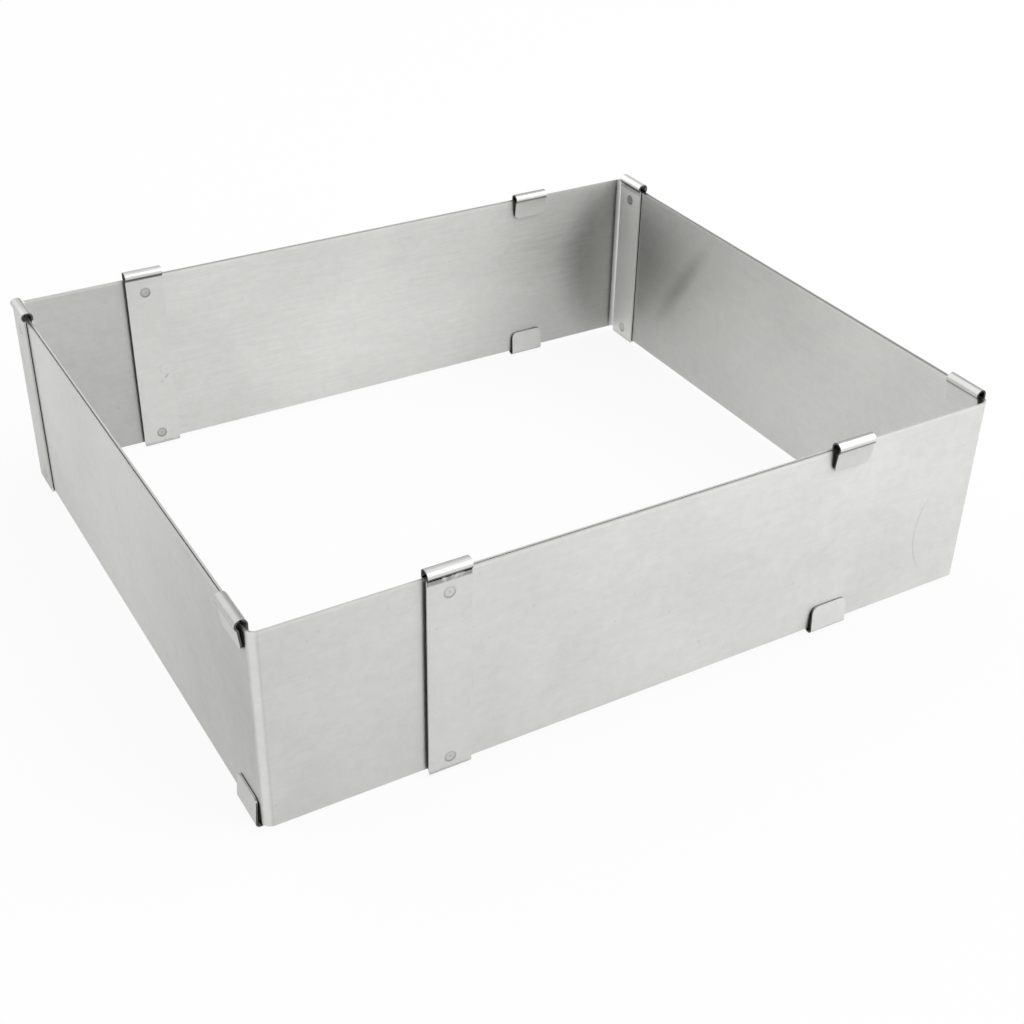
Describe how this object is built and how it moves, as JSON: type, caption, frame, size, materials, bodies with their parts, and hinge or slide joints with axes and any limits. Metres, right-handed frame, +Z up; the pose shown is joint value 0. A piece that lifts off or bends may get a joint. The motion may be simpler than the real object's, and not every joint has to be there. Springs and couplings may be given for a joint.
{
  "type": "adjustable cake frame",
  "caption": "Adjustable rectangular cake frame of brushed stainless sheet that slides wider and deeper, with hooked tabs and riveted guide strips.",
  "frame": {"origin": "below the middle of the frame, in the plane that its folds stand on", "axes": "+X along the long sides, +Y from the front side to the back side, +Z up"},
  "size_m": [0.3052, 0.2592, 0.0857],
  "materials": {
    "sheet_steel": "satin brushed stainless sheet",
    "strip_steel": "satin brushed stainless sheet",
    "rivet_steel": "pressed flush, dull"
  },
  "bodies": {
    "front_left": {"front_left_sheet": "sheet_steel", "left_guide_strip": "strip_steel", "left_rivet_top": "rivet_steel", "left_rivet_bottom": "rivet_steel"},
    "front_right": {"front_right_sheet": "sheet_steel", "front_guide_strip": "strip_steel", "front_rivet_top": "rivet_steel", "front_rivet_bottom": "rivet_steel", "right_guide_strip": "strip_steel", "right_rivet_top": "rivet_steel", "right_rivet_bottom": "rivet_steel"},
    "back_left": {"back_left_sheet": "sheet_steel"},
    "back_right": {"back_right_sheet": "sheet_steel", "back_guide_strip": "strip_steel", "back_rivet_top": "rivet_steel", "back_rivet_bottom": "rivet_steel"}
  },
  "joints": [
    {"name": "front_slide", "type": "slide", "parent": "front_left", "child": "front_right", "axis": [1, 0, 0], "range_m": [-0.042, 0.148]},
    {"name": "left_slide", "type": "slide", "parent": "front_left", "child": "back_left", "axis": [0, 1, 0], "range_m": [0, 0.212]},
    {"name": "right_slide", "type": "slide", "parent": "front_right", "child": "back_right", "axis": [0, 1, 0], "range_m": [0, 0.212]}
  ],
  "couplings": [
    {"joint": "right_slide", "follows": "left_slide", "ratio": 1}
  ]
}
